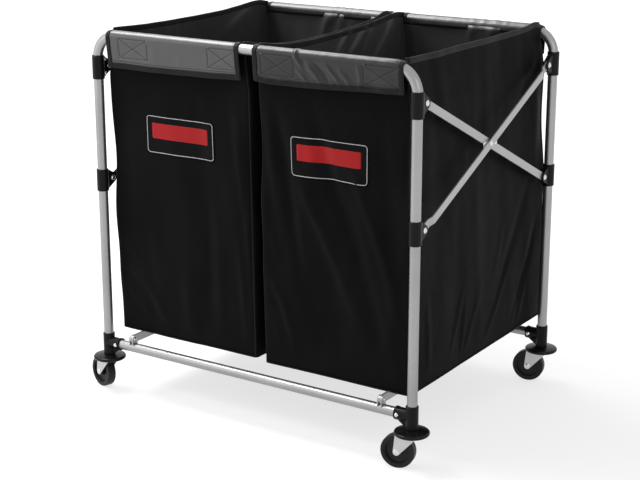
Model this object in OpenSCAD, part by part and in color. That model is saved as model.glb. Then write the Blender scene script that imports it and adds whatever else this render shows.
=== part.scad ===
// Folding laundry sorter on wheels: two hanging bags in a steel tube frame.
// Two arched frames, front and rear, are joined by a scissor of flat bars at each end.
// The lower bar ends run on sleeves that slide on the legs, so the rear frame closes on the front one.
// +X runs along the front, +Y from front to rear, +Z up. The origin is on the floor, midway between the legs.

/* [Frame] */
// Distance from the hems' outer edges to the leg axes
side_room = 41; // [36:1:60]
// Distance between the leg axes from front to rear, when open
leg_spacing_y = 614; // [560:2:640]
// Outer diameter of the frame tubes
tube_d = 22.2; // [20:0.2:24]
// Wall of the frame tubes
tube_wall = 1.5; // [1:0.1:2]
// Height of the top tubes' axis
top_z = 847; // [800:1:900]
// Bend radius of the top corners, at the tube's axis
corner_r = 54; // [44:1:60]
// Rise of the bottom rails above the leg sockets' lower ends
rail_rise = 29; // [26:1:34]

/* [Clamps and sliders] */
// Wall of the plastic sleeves on the legs
sleeve_wall = 2.6; // [2:0.1:3.5]
// Height of the upper clamps
clamp_h = 54; // [44:1:58]
// Reach of a clamp up onto the bend above it
clamp_lap = 7; // [0:0.5:9]
// Height of the sliding sleeves
slider_h = 51; // [44:1:56]
// Height of the sliding sleeves' pivots, when open
slider_z = 512; // [470:2:540]
// Distance of the bar pivots from the leg axis
pivot_reach = 30; // [28:0.5:34]
// Thickness of each cheek of a clamp's ear
cheek_t = 4; // [3:0.25:5]
// Radius of an ear round its pivot
ear_r = 11; // [10:0.25:12]
// Distance of the clamp bolts from the leg axis
bolt_reach = 18; // [17.5:0.25:18.5]
// Height between the two clamp bolts
bolt_spacing = 32; // [28:1:34]
// Diameter of the clamp bolts
bolt_d = 4; // [3:0.25:4.5]
// Plastic left beyond the tip of a clamp bolt
bolt_tip = 2; // [1:0.25:4]

/* [Scissor bars] */
// Width of the bars
bar_w = 17.5; // [15:0.5:18]
// Thickness of the bars
bar_t = 3; // [2.5:0.25:4]
// Diameter of the bars' pivot rivets
pivot_d = 8; // [6:0.5:9]
// Diameter of the rivets' domed heads
rivet_head_d = 13; // [12:0.5:14]
// Height of the rivets' domed heads
rivet_head_h = 3; // [2:0.25:4]
// Length of the spacer plate between the crossing bars
spacer_l = 62; // [40:2:80]
// Height of the spacer plate
spacer_h = 12; // [10:1:16]
// Thickness of the spacer plate
spacer_t = 2; // [1.5:0.25:3]
// Where an outer bar starts to step out, from its pivot
step_start = 24; // [22:1:30]
// Length of an outer bar's step
step_l = 12; // [10:1:20]

/* [Folding base] */
// Distance of the base struts' mid plane from the leg axes
strut_inset = 72; // [65:1:115]
// Height of the strut pins above the rails' axis
strut_rise = 21; // [20.5:0.25:24]
// Height of the struts
strut_w = 18; // [14:0.5:18]
// Thickness of the struts
strut_t = 5; // [3:0.5:6]
// Diameter of the strut pins
strut_pin_d = 6; // [5:0.5:8]
// Thickness of the bracket ears on the rails
bracket_t = 2.5; // [2:0.25:3]
// Diameter of the cross tube under the bags
cross_tube_d = 16; // [12:1:17]

/* [Leg sockets and bumpers] */
// Height of the sockets
socket_h = 52; // [48:1:60]
// Thickness of a socket's floor, under the leg
socket_floor = 5; // [4:0.5:8]
// Reach of a socket's collar towards the middle
collar_reach = 38; // [34:1:44]
// Distance of the rail bolts from the leg axis
rail_bolt_reach = 30; // [27:0.5:31]
// Thickness of the web under a collar
web_t = 8; // [6:0.5:12]
// Diameter of the bumper discs
bumper_d = 76.5; // [70:0.5:84]
// Height of the bumper discs
bumper_h = 12; // [11:0.5:14]

/* [Casters] */
// Diameter of the wheels
wheel_d = 75; // [70:1:80]
// Width of the tread
wheel_w = 21; // [18:0.5:24]
// Trail of a wheel's axle behind the swivel axis
trail = 29; // [26:0.5:32]
// Thickness of the fork's plate
fork_t = 2.5; // [2:0.25:3]
// Diameter of the axles
axle_d = 8; // [6:0.5:9]
// Diameter of the stems
stem_d = 11; // [10:0.5:12]
// Height of a stem's race, between fork and bumper
race_h = 2; // [1.5:0.25:4]
// Heading of the front left wheel, from +X
heading_front_left = 163.7; // [0:0.1:360]
// Heading of the front right wheel
heading_front_right = 191.7; // [0:0.1:360]
// Heading of the rear left wheel
heading_rear_left = 176; // [0:0.1:360]
// Heading of the rear right wheel
heading_rear_right = 191.7; // [0:0.1:360]

/* [Bags] */
// Width of each bag's hem, along the top tubes
hem_w = 357; // [320:1:370]
// Bare tube between the two hems
hem_gap = 34; // [20:1:60]
// Thickness of the doubled hem cloth
hem_t = 1.8; // [1.2:0.1:2.4]
// Drop of the hem's outer flap below the tube's axis
flap_drop = 67; // [50:1:80]
// Inward lean of the outer flap, in degrees
flap_lean = 6.5; // [0:0.5:8]
// Drop of the hem's inner side below the tube's axis
hem_inner_drop = 14; // [8:1:20]
// Thickness of the bag cloth
cloth_t = 1.5; // [1:0.1:2.5]
// Height of the bags' rims above the tubes' axis
rim_rise = 9; // [4:1:10]
// Sag of the rims between front and rear
rim_sag = 10; // [4:1:20]
// Width of the left bag at its floor
left_floor_w = 379; // [340:1:382]
// Width of the right bag at its floor
right_floor_w = 353; // [340:1:360]
// Shift of the left bag's floor towards the right
left_floor_shift = 1; // [-4:1:6]
// Shift of the right bag's floor towards the right
right_floor_shift = 16; // [0:1:18]
// Height of the seam round a bag's floor
seam_z = 157; // [154:1:170]
// Setback of a bag's front panel at the floor
front_setback = 18; // [4:1:30]
// Setback of a bag's rear panel at the floor, below nought where the panel leans out
rear_setback = -41; // [-42:1:20]
// Radius of the bags' upright corners
bag_corner_r = 12; // [8:1:20]

/* [Hidden] */
$fn = 64;
// clearances
seat = 0.05;           // radial gap where a piece is fixed on another
running = 0.05;        // radial gap of a pin or shaft that turns
sliding = 0.25;        // radial gap of a sleeve that slides
side_play = 0.5;       // gap beside a bar or strut in its fork
cloth_gap = 0.3;       // gap between cloth and what carries it
overcut = 1;           // length by which a cut runs past a face
lap = 0.5;             // depth by which a feature starts inside what carries it
hem_step = 0.1;        // depth by which a flap sits inside the faces of its wrap

hem_x = hem_gap / 2;
leg_x = hem_x + hem_w + side_room;
leg_y = leg_spacing_y / 2;
tube_r = tube_d / 2;
bore_r = tube_r - tube_wall;

// the stack from the floor up: wheel, race, bumper, socket, leg
wheel_r = wheel_d / 2;
race_z = wheel_d;
bumper_z = race_z + race_h;
socket_z = bumper_z + bumper_h;
leg_z = socket_z + socket_floor;
rail_z = socket_z + rail_rise;
strut_z = rail_z + strut_rise;

// pivots of the scissor
clamp_z = top_z - corner_r + clamp_lap - clamp_h / 2;
clamp_mouth = corner_r - sqrt(corner_r * corner_r - clamp_lap * clamp_lap); // room for the bend
pivot_y = leg_y - pivot_reach;
bar_l = norm([2 * pivot_y, clamp_z - slider_z]);
bar_angle = atan2(clamp_z - slider_z, 2 * pivot_y);
slot_w = bar_t + 2 * side_play;
sleeve_r = tube_r + sleeve_wall;
sleeve_chamfer = 1;
ear_inset = 3;         // drop of an ear's root from its sleeve's ends
ear_w = slot_w + 2 * cheek_t;
slot_start = pivot_reach - bar_w / 2 - side_play;
bar_step = bar_t + spacer_t + 2 * cloth_gap;

// planes of the struts, side by side where they meet
strut_gap = 1;
strut_x = leg_x - strut_inset;
front_strut_x = strut_x - (strut_t + strut_gap) / 2;
rear_strut_x = strut_x + (strut_t + strut_gap) / 2;
strut_slot_w = strut_t + 2 * side_play;
strut_head_h = 2;      // height of the heads on the strut pins and the mid pivot

// sockets
rail_stop = 1.5;       // plastic between a rail's end and the sleeve of its socket
rail_end = leg_x - sleeve_r - rail_stop;

// fork
fork_gap = wheel_w + 4;
fork_w = fork_gap + 2 * fork_t;
fork_z = race_z;
neck_d = stem_d - 3;
neck_head_d = neck_d + 4.5;
neck_head_h = 2;
crown_front = 12;      // reach of the crown ahead of the swivel axis
crown_back = 11;       // reach of the crown over the wheel

// bags
hem_in_r = tube_r + cloth_gap;
hem_out_r = hem_in_r + hem_t;
bag_y = leg_y - hem_out_r - cloth_gap;
bag_rim_z = top_z + rim_rise;
bag_hem_z = top_z - hem_inner_drop - cloth_gap;
bag_floor_z = strut_z + strut_w / 2 + cloth_gap;
floor_steps = [[60, 0], [25, 4]]; // inset and rise of the rings between floor and seam
arc_steps = 3;         // facets round each upright corner
side_steps = 4;        // points along each flat side
wall_steps = 4;        // rings from the seam up to the hems

LEFT = -1;
RIGHT = 1;
FRONT = -1;
REAR = 1;

// ---- placing ----

// Moves a shape to a leg: there +X points out, +Y towards the other frame.
module at_leg(side, end) {
  translate([side * leg_x, end * leg_y, 0])
    mirror([side < 0 ? 1 : 0, 0, 0])
      mirror([0, end > 0 ? 1 : 0, 0])
        children();
}

// Turns a flat outline into a plate across X: outline x runs along Y, outline y along Z.
module plate_x(thick) {
  rotate([90, 0, 90])
    linear_extrude(thick, center = true)
      children();
}

// Turns a flat outline into a plate across Y: outline x runs along X, outline y along Z.
module plate_y(thick) {
  rotate([90, 0, 0])
    linear_extrude(thick, center = true)
      children();
}

module rod_x(r, from, to) {
  translate([from, 0, 0])
    rotate([0, 90, 0])
      cylinder(r = r, h = to - from);
}

module rod_y(r, from, to) {
  translate([0, from, 0])
    rotate([-90, 0, 0])
      cylinder(r = r, h = to - from);
}

// ---- fasteners ----

// A domed head that stands on z = 0.
module dome(r, h) {
  ball_r = (r * r + h * h) / (2 * h);
  rotate_extrude()
    intersection() {
      translate([0, h - ball_r])
        circle(r = ball_r);
      square([r, h]);
    }
}

// A rivet along X with a domed head at each end.
module rivet_x(d, from, to, head_d = rivet_head_d, head_h = rivet_head_h) {
  rod_x(d / 2, from, to);
  translate([to, 0, 0])
    rotate([0, 90, 0])
      dome(head_d / 2, head_h);
  translate([from, 0, 0])
    rotate([0, -90, 0])
      dome(head_d / 2, head_h);
}

// ---- frames ----

module frame_path(r, extra) {
  top_l = 2 * (leg_x - corner_r);
  for (side = [LEFT, RIGHT]) {
    translate([side * leg_x, 0, leg_z - extra])
      cylinder(r = r, h = top_z - corner_r - leg_z + extra);
    translate([side * (leg_x - corner_r), 0, top_z - corner_r])
      rotate([90, 0, side > 0 ? 0 : 180])
        rotate_extrude(angle = 90)
          translate([corner_r, 0])
            circle(r = r);
  }
  translate([0, 0, top_z])
    rod_x(r, -top_l / 2, top_l / 2);
}

module frame_tube(end) {
  color("silver")
    translate([0, end * leg_y, 0])
      difference() {
        frame_path(tube_r, 0);
        frame_path(bore_r, overcut);
      }
}

module bottom_rail(end) {
  color("silver")
    translate([0, end * leg_y, rail_z])
      difference() {
        rod_x(tube_r, -rail_end, rail_end);
        rod_x(bore_r, -rail_end - overcut, rail_end + overcut);
        for (side = [LEFT, RIGHT])
          translate([side * (leg_x - rail_bolt_reach), 0, 0])
            rod_y(bolt_d / 2 + seat, -tube_d, tube_d);
      }
}

// Two ears that stand on a rail and hold a strut's end between them.
module strut_bracket(x) {
  ear_out = strut_w / 2;
  difference() {
    for (side = [-1, 1])
      translate([x + side * (strut_slot_w + bracket_t) / 2, 0, 0])
        plate_x(bracket_t) {
          translate([0, strut_z])
            circle(r = ear_out);
          translate([-ear_out, rail_z])
            square([2 * ear_out, strut_z - rail_z]);
        }
    translate([0, 0, rail_z])
      rod_x(tube_r + seat, x - strut_slot_w, x + strut_slot_w);
    translate([x - strut_slot_w, -strut_w, rail_z - strut_w])
      cube([2 * strut_slot_w, 2 * strut_w, strut_w]);
    translate([0, 0, strut_z])
      rod_x(strut_pin_d / 2 + seat, x - strut_slot_w, x + strut_slot_w);
  }
}

module strut_brackets(end) {
  x = end == FRONT ? front_strut_x : rear_strut_x;
  color("silver")
    translate([0, end * leg_y, 0])
      for (side = [LEFT, RIGHT])
        strut_bracket(side * x);
}

// ---- clamps and sliders ----

// The point where a line from p touches the circle of radius r round c, on the given side.
function touch_point(p, c, r, side) =
  let (d = norm(p - c), a = atan2(p[1] - c[1], p[0] - c[0]), b = side * acos(r / d))
  c + r * [cos(a + b), sin(a + b)];

// Outline of an ear: it leaves the sleeve at full height and narrows to a round end at the pivot.
module ear_outline(half_h) {
  root = sleeve_r - lap;
  pivot = [pivot_reach, 0];
  translate(pivot)
    circle(r = ear_r);
  polygon([
    [0, -half_h],
    [root, -half_h],
    touch_point([root, -half_h], pivot, ear_r, 1),
    touch_point([root, half_h], pivot, ear_r, -1),
    [root, half_h],
    [0, half_h],
  ]);
}

module sleeve_profile(r, h, chamfer) {
  polygon([
    [0, -h / 2], [r - chamfer, -h / 2], [r, -h / 2 + chamfer],
    [r, h / 2 - chamfer], [r - chamfer, h / 2], [0, h / 2],
  ]);
}

// A sleeve round the leg, with a forked ear that holds a bar's end. Centred on the pivot's height.
module eared_sleeve(h, gap) {
  difference() {
    union() {
      rotate_extrude()
        sleeve_profile(sleeve_r, h, sleeve_chamfer);
      plate_x(ear_w)
        ear_outline(h / 2 - ear_inset);
    }
    cylinder(r = tube_r + gap, h = h + 2 * overcut, center = true);
    translate([-slot_w / 2, slot_start, -h / 2])
      cube([slot_w, pivot_reach + ear_r, h]);
    translate([0, pivot_reach, 0])
      rod_x(pivot_d / 2 + seat, -ear_w, ear_w);
  }
}

// Places a shape at each of a clamp's two bolts.
module at_clamp_bolts() {
  for (level = [-1, 1])
    translate([0, bolt_reach, clamp_z + level * bolt_spacing / 2])
      children();
}

module clamp_body(side, end) {
  color("dimgray")
    at_leg(side, end)
      difference() {
        translate([0, 0, clamp_z])
          eared_sleeve(clamp_h, seat);
        translate([0, 0, top_z - corner_r])
          cylinder(r = tube_r + seat + clamp_mouth, h = clamp_lap + overcut);
        at_clamp_bolts()
          rod_x(bolt_d / 2 + seat, -ear_w, ear_w / 2 - bolt_tip + seat);
      }
}

module slider_body(side, end) {
  color("dimgray")
    at_leg(side, end)
      translate([0, 0, slider_z])
        eared_sleeve(slider_h, sliding);
}

module pivot_pin(z) {
  translate([0, pivot_reach, z])
    rivet_x(pivot_d, -ear_w / 2, ear_w / 2);
}

module slider_pin(side, end) {
  color("gainsboro")
    at_leg(side, end)
      pivot_pin(slider_z);
}

// Upper bar pivots, and the pins of the base struts.
module pivot_pins(end) {
  x = end == FRONT ? front_strut_x : rear_strut_x;
  half = strut_slot_w / 2 + bracket_t;
  head_d = strut_pin_d + 4;
  color("gainsboro") {
    for (side = [LEFT, RIGHT]) {
      at_leg(side, end)
        pivot_pin(clamp_z);
      translate([side * x, end * leg_y, strut_z])
        rivet_x(strut_pin_d, -half, half, head_d, strut_head_h);
    }
  }
}

// Clamp bolts, driven in from the inner side, and the bolts that hold the bottom rail in its sockets.
module frame_bolts(end) {
  head_r = bolt_d;
  head_h = 2.5;
  rail_head_r = 4.75;
  rail_half = sleeve_r + 1;
  color("gainsboro")
    for (side = [LEFT, RIGHT])
      at_leg(side, end) {
        at_clamp_bolts() {
          rod_x(bolt_d / 2, -ear_w / 2, ear_w / 2 - bolt_tip);
          translate([-ear_w / 2, 0, 0])
            rotate([0, -90, 0])
              dome(head_r, head_h);
        }
        translate([-rail_bolt_reach, 0, rail_z]) {
          rod_y(bolt_d / 2, -rail_half, rail_half);
          for (way = [-1, 1])
            translate([0, way * rail_half, 0])
              rotate([-90 * way, 0, 0])
                dome(rail_head_r, head_h);
        }
      }
}

// ---- scissor bars ----

// Outline of a bar from pivot to pivot, with round ends.
module bar_outline(length, width) {
  for (s = [0, length])
    translate([s, 0])
      circle(r = width / 2);
  translate([0, -width / 2])
    square([length, width]);
}

module bar_holes(thick) {
  for (s = [0, bar_l / 2, bar_l])
    translate([0, s, 0])
      rod_x(pivot_d / 2 + running, -thick, thick);
}

// The inner bar is straight and runs from the front clamp down to the rear slider.
module inner_bar(side) {
  color("lightgray")
    translate([side * leg_x, -pivot_y, clamp_z])
      rotate([-bar_angle, 0, 0])
        difference() {
          plate_x(bar_t)
            bar_outline(bar_l, bar_w);
          bar_holes(bar_t);
        }
}

// Side view of the outer bar: it steps out past the inner bar and back in at its other end.
module stepped_outline() {
  e = bar_w;
  line = [
    [-e, 0], [step_start, 0], [step_start + step_l, bar_step],
    [bar_l - step_start - step_l, bar_step], [bar_l - step_start, 0], [bar_l + e, 0],
  ];
  low = [for (p = line) p - [0, bar_t / 2]];
  high = [for (i = [len(line) - 1:-1:0]) line[i] + [0, bar_t / 2]];
  polygon(concat(low, high));
}

// The outer bar runs from the front slider up to the rear clamp.
module outer_bar(side) {
  color("lightgray")
    translate([side * leg_x, -pivot_y, slider_z])
      mirror([side < 0 ? 1 : 0, 0, 0])
        rotate([bar_angle, 0, 0])
          difference() {
            intersection() {
              plate_x(4 * bar_step + 2 * bar_t)
                bar_outline(bar_l, bar_w);
              rotate([0, 0, 90])
                mirror([0, 1, 0])
                  linear_extrude(2 * bar_w, center = true)
                    stepped_outline();
            }
            bar_holes(2 * bar_step);
          }
}

// The rivet where the bars cross, and the spacer plate between them.
module centre_rivet(side) {
  inner_face = bar_t / 2;
  color("gainsboro")
    translate([side * leg_x, 0, (clamp_z + slider_z) / 2])
      mirror([side < 0 ? 1 : 0, 0, 0]) {
        rivet_x(pivot_d, -inner_face - seat, bar_step + inner_face + seat);
        difference() {
          translate([inner_face + cloth_gap, -spacer_l / 2, -spacer_h / 2])
            cube([spacer_t, spacer_l, spacer_h]);
          rod_x(pivot_d / 2 + seat, 0, bar_step);
        }
      }
}

// ---- folding base ----

module base_strut(x, end) {
  color("darkgray")
    translate([x, end * leg_y, strut_z])
      mirror([0, end > 0 ? 1 : 0, 0])
        difference() {
          plate_x(strut_t)
            bar_outline(leg_y, strut_w);
          rod_x(strut_pin_d / 2 + running, -strut_t, strut_t);
          if (end == FRONT)
            translate([0, leg_y, 0])
              rod_x(strut_pin_d / 2 + seat, -strut_t, strut_t);
        }
}

module front_base_struts() {
  for (side = [LEFT, RIGHT])
    base_strut(side * front_strut_x, FRONT);
}

// Each rear strut ends in the outer half of the mid pivot, a boss on its outer face.
module rear_base_struts() {
  for (side = [LEFT, RIGHT]) {
    base_strut(side * rear_strut_x, REAR);
    color("darkgray")
      translate([side * (rear_strut_x + strut_t / 2), 0, strut_z])
        rotate([0, side * 90, 0])
          dome(strut_pin_d, strut_head_h);
  }
}

// The cross tube joins the front struts at the mid pivot and lifts the bags' floors.
module base_cross_tube() {
  reach = front_strut_x - strut_t / 2 - strut_head_h - seat;
  color("darkgray")
    translate([0, 0, strut_z])
      difference() {
        rod_x(cross_tube_d / 2, -reach, reach);
        rod_x(cross_tube_d / 2 - tube_wall, -reach - overcut, reach + overcut);
      }
}

// The inner half of the mid pivot: a rivet in each front strut, headed towards the cross tube.
module base_mid_rivets() {
  color("gainsboro")
    for (side = [LEFT, RIGHT])
      translate([side * front_strut_x, 0, strut_z])
        mirror([side < 0 ? 1 : 0, 0, 0]) {
          rod_x(strut_pin_d / 2, -strut_t / 2, strut_t / 2);
          translate([-strut_t / 2 - strut_head_h, 0, 0])
            rod_x(cross_tube_d / 2, 0, strut_head_h);
        }
}

// ---- leg sockets and bumpers ----

module leg_socket(side, end) {
  lip = 1;
  lip_l = 4;
  web_foot = 2;
  web_end = 5 - collar_reach;
  color("dimgray")
    at_leg(side, end)
      difference() {
        union() {
          translate([0, 0, socket_z + socket_h / 2])
            rotate_extrude()
              sleeve_profile(sleeve_r, socket_h, sleeve_chamfer);
          translate([0, 0, rail_z]) {
            rod_x(sleeve_r, -collar_reach, 0);
            rod_x(sleeve_r + lip, -collar_reach, -collar_reach + lip_l);
          }
          plate_y(web_t)
            polygon([
              [0, socket_z + web_foot], [-sleeve_r, socket_z + web_foot],
              [web_end, rail_z - sleeve_r], [web_end, rail_z], [0, rail_z],
            ]);
        }
        // annular seat for the leg, round the spigot
        difference() {
          translate([0, 0, leg_z])
            cylinder(r = tube_r + seat, h = socket_h);
          translate([0, 0, leg_z - overcut])
            cylinder(r = bore_r - seat, h = rail_rise + overcut);
        }
        translate([0, 0, socket_z - overcut])
          cylinder(r = stem_d / 2 + seat, h = socket_h + 2 * overcut);
        translate([0, 0, rail_z])
          rod_x(tube_r + seat, -collar_reach - overcut, -sleeve_r - rail_stop + seat);
        translate([-rail_bolt_reach, 0, rail_z])
          rod_y(bolt_d / 2 + seat, -2 * sleeve_r, 2 * sleeve_r);
      }
}

module bumper(side, end) {
  rim_r = 4.5;
  disc_r = bumper_d / 2;
  dome_fall = 1.5;
  color("dimgray")
    at_leg(side, end)
      translate([0, 0, bumper_z])
        difference() {
          rotate_extrude() {
            translate([disc_r - rim_r, rim_r])
              circle(r = rim_r);
            polygon([
              [0, 0], [disc_r - rim_r, 0], [disc_r - rim_r, 2 * rim_r],
              [(disc_r + sleeve_r) / 2, bumper_h - dome_fall], [sleeve_r, bumper_h], [0, bumper_h],
            ]);
          }
          translate([0, 0, -overcut])
            cylinder(r = stem_d / 2 + seat, h = bumper_h + 2 * overcut);
        }
}

// Stem in the leg's socket: race under the bumper, neck through the fork, head under its crown.
module caster_stem() {
  crown_low = fork_z - fork_t;
  race_r = stem_d + 2;
  stem_top = leg_z + rail_rise - 1;
  translate([0, 0, race_z + seat])
    cylinder(r = stem_d / 2, h = stem_top - race_z - seat);
  translate([0, 0, race_z + seat])
    cylinder(r = race_r, h = race_h - 2 * seat);
  translate([0, 0, crown_low - neck_head_h])
    cylinder(r = neck_d / 2, h = neck_head_h + fork_t + lap);
  translate([0, 0, crown_low - neck_head_h - seat])
    cylinder(r = neck_head_d / 2, h = neck_head_h);
}

module caster_stems(end) {
  color("gainsboro")
    for (side = [LEFT, RIGHT])
      at_leg(side, end)
        caster_stem();
}

// ---- casters ----

// Moves a shape to a swivel axis, turned so that +X points from there to the wheel.
module at_caster(side, end, heading) {
  translate([side * leg_x, end * leg_y, 0])
    rotate([0, 0, heading])
      children();
}

module cheek_outline() {
  eye_r = 7.5;
  eye = [trail, wheel_r];
  front = -crown_front;
  back = trail + 4;
  edge_z = fork_z - fork_t - 1.5;
  translate(eye)
    circle(r = eye_r);
  polygon([
    [front, fork_z],
    [front, edge_z],
    touch_point([front, edge_z], eye, eye_r, 1),
    touch_point([back, edge_z], eye, eye_r, -1),
    [back, edge_z],
    [back, fork_z],
  ]);
}

module caster_fork(side, end, heading) {
  color("lightsteelblue")
    at_caster(side, end, heading)
      difference() {
        union() {
          for (way = [-1, 1])
            translate([0, way * (fork_gap + fork_t) / 2, 0])
              plate_y(fork_t)
                cheek_outline();
          translate([-crown_front, -fork_gap / 2, fork_z - fork_t])
            cube([crown_front + crown_back, fork_gap, fork_t]);
          translate([0, 0, fork_z - fork_t])
            cylinder(r = crown_back + lap, h = fork_t);
        }
        translate([0, 0, fork_z - 2 * fork_t])
          cylinder(r = neck_d / 2 + running, h = 3 * fork_t);
        translate([trail, 0, wheel_r])
          rod_y(axle_d / 2 + seat, -fork_w, fork_w);
      }
}

module caster_axle(side, end, heading) {
  axle_head_d = axle_d + 5;
  axle_head_h = 2;
  color("gainsboro")
    at_caster(side, end, heading)
      translate([trail, 0, wheel_r]) {
        rod_y(axle_d / 2, -fork_w / 2, fork_w / 2);
        for (way = [-1, 1])
          translate([0, way * fork_w / 2, 0])
            rotate([-90 * way, 0, 0])
              dome(axle_head_d / 2, axle_head_h);
      }
}

// Half section of the wheel: tread with round shoulders, rim lip, thin web and wide hub.
module wheel_profile() {
  tread_t = 7.5;
  shoulder_r = 3;
  tread_in = wheel_r - tread_t;
  lip_t = 3;
  lip_half = wheel_w / 2 - 1;
  web_half = wheel_w / 5;
  hub_r = axle_d / 2 + 7;
  hub_half = fork_gap / 2 - 0.7;
  translate([tread_in, -wheel_w / 2 + shoulder_r])
    square([tread_t, wheel_w - 2 * shoulder_r]);
  translate([tread_in, -wheel_w / 2])
    square([tread_t - shoulder_r, wheel_w]);
  for (way = [-1, 1])
    translate([wheel_r - shoulder_r, way * (wheel_w / 2 - shoulder_r)])
      circle(r = shoulder_r);
  translate([tread_in - lip_t, -lip_half])
    square([lip_t + overcut, 2 * lip_half]);
  translate([axle_d / 2, -web_half])
    square([tread_in - axle_d / 2, 2 * web_half]);
  translate([axle_d / 2, -hub_half])
    square([hub_r - axle_d / 2, 2 * hub_half]);
}

module caster_wheel(side, end, heading) {
  color("dimgray")
    at_caster(side, end, heading)
      translate([trail, 0, wheel_r])
        rotate([-90, 0, 0])
          difference() {
            rotate_extrude($fn = 96)
              wheel_profile();
            cylinder(r = axle_d / 2 + running, h = 2 * fork_gap, center = true);
          }
}

// ---- bags ----

// Section of a hem, round the tube's axis: +x towards the bag, +y up.
module hem_section() {
  lean = flap_lean;
  reach = hem_out_r + overcut;
  flap_l = (flap_drop - hem_out_r * sin(lean)) / cos(lean);
  intersection() {
    difference() {
      circle(r = hem_out_r);
      circle(r = hem_in_r);
    }
    polygon([
      [0, 0], reach * 2 * [-cos(lean), -sin(lean)], [-2 * reach, 2 * reach],
      [2 * reach, 2 * reach], [2 * reach, 0],
    ]);
  }
  // the flap leaves the wrap along its tangent and starts a little inside it
  rotate(lean)
    translate([-hem_out_r + hem_step, -flap_l])
      square([hem_t - 2 * hem_step, flap_l + lap]);
  translate([hem_in_r + hem_step, -hem_inner_drop])
    square([hem_t - 2 * hem_step, hem_inner_drop + lap]);
}

module bag_hem(side, end) {
  color("dimgray")
    translate([side * (hem_x + hem_w / 2), end * leg_y, top_z])
      mirror([0, end > 0 ? 1 : 0, 0])
        plate_x(hem_w)
          hem_section();
}

// One ring of a bag: a rectangle with round corners. The rim of its two long sides hangs by sag.
function bag_ring(x0, x1, y0, y1, z, sag) =
  let (
    r = bag_corner_r,
    corners = [[x1 - r, y0 + r], [x1 - r, y1 - r], [x0 + r, y1 - r], [x0 + r, y0 + r]],
    bends = [for (i = [0:3]) [for (k = [0:arc_steps])
      corners[i] + r * [cos(90 * (i - 1 + k / arc_steps)), sin(90 * (i - 1 + k / arc_steps))]]],
    flat = [for (i = [0:3]) each concat(
      bends[i],
      [for (k = [1:side_steps])
        let (t = k / (side_steps + 1), a = bends[i][arc_steps], b = bends[(i + 1) % 4][0])
        a + t * (b - a)]
    )]
  )
  [for (p = flat)
    let (t = (2 * p[1] - y0 - y1) / (y1 - y0), on_side = p[0] >= x1 - 0.01 || p[0] <= x0 + 0.01)
    [p[0], p[1], z - (on_side ? sag * (1 - t * t) : 0)]];

function mean_point(ring) = [for (i = [0:2]) let (c = [for (p = ring) p[i]]) (min(c) + max(c)) / 2];

// Joins rings of equal length with triangles and closes both ends with a fan.
module ring_skin(rings) {
  n = len(rings[0]);
  m = len(rings);
  ends = [mean_point(rings[0]), mean_point(rings[m - 1])];
  points = concat([for (ring = rings) each ring], ends);
  walls = [for (j = [0:m - 2]) for (i = [0:n - 1])
    let (a = j * n + i, b = j * n + (i + 1) % n, c = a + n, d = b + n)
    each [[a, d, b], [a, c, d]]];
  first = [for (i = [0:n - 1]) [i, (i + 1) % n, m * n]];
  last = [for (i = [0:n - 1]) [(m - 1) * n + (i + 1) % n, (m - 1) * n + i, m * n + 1]];
  polyhedron(points = points, faces = concat(walls, first, last), convexity = 4);
}

// Rings of one bag's cloth from floor to rim, set in by t all round and up by t at the floor.
function bag_rings(side, t) =
  let (
    mid = side * (hem_x + hem_w / 2),
    floor_mid = mid + (side < 0 ? left_floor_shift : right_floor_shift),
    floor_half = (side < 0 ? left_floor_w : right_floor_w) / 2 - t,
    half = hem_w / 2 - t,
    low = [floor_mid - floor_half, floor_mid + floor_half,
           -bag_y + front_setback + t, bag_y - rear_setback - t],
    high = [mid - half, mid + half, -bag_y + t, bag_y - t],
    inset = [1, -1, 1, -1]
  )
  concat(
    [for (s = floor_steps)
      let (e = low + s[0] * inset)
      bag_ring(e[0], e[1], e[2], e[3], bag_floor_z + s[1] + t, 0)],
    [for (k = [0:wall_steps])
      let (u = k / wall_steps, e = low + u * (high - low), z = seam_z + u * (bag_hem_z - seam_z))
      bag_ring(e[0], e[1], e[2], e[3], z, u * u * rim_sag)],
    [bag_ring(high[0], high[1], high[2], high[3], bag_rim_z, rim_sag)]
  );

// A bag is one skin: up its outer side, over the rim and down its inner side.
module bag(side) {
  outer = bag_rings(side, 0);
  inner = bag_rings(side, cloth_t);
  color([0.12, 0.12, 0.13])
    ring_skin(concat(outer, [for (i = [len(inner) - 1:-1:0]) inner[i]]));
}

// ---- nodes ----

frame_tube(FRONT);  // front_frame_tube
bottom_rail(FRONT);  // front_bottom_rail
strut_brackets(FRONT);  // front_strut_brackets
clamp_body(LEFT, FRONT);  // clamp_front_left
clamp_body(RIGHT, FRONT);  // clamp_front_right
frame_bolts(FRONT);  // front_frame_bolts
pivot_pins(FRONT);  // front_pivot_pins
leg_socket(LEFT, FRONT);  // socket_front_left
leg_socket(RIGHT, FRONT);  // socket_front_right
bumper(LEFT, FRONT);  // bumper_front_left
bumper(RIGHT, FRONT);  // bumper_front_right
caster_stems(FRONT);  // front_caster_stems
bag_hem(LEFT, FRONT);  // bag_left_front_hem
bag_hem(RIGHT, FRONT);  // bag_right_front_hem
bag(LEFT);  // bag_left
bag(RIGHT);  // bag_right
frame_tube(REAR);  // rear_frame_tube
bottom_rail(REAR);  // rear_bottom_rail
strut_brackets(REAR);  // rear_strut_brackets
clamp_body(LEFT, REAR);  // clamp_rear_left
clamp_body(RIGHT, REAR);  // clamp_rear_right
frame_bolts(REAR);  // rear_frame_bolts
pivot_pins(REAR);  // rear_pivot_pins
leg_socket(LEFT, REAR);  // socket_rear_left
leg_socket(RIGHT, REAR);  // socket_rear_right
bumper(LEFT, REAR);  // bumper_rear_left
bumper(RIGHT, REAR);  // bumper_rear_right
caster_stems(REAR);  // rear_caster_stems
bag_hem(LEFT, REAR);  // bag_left_rear_hem
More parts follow.
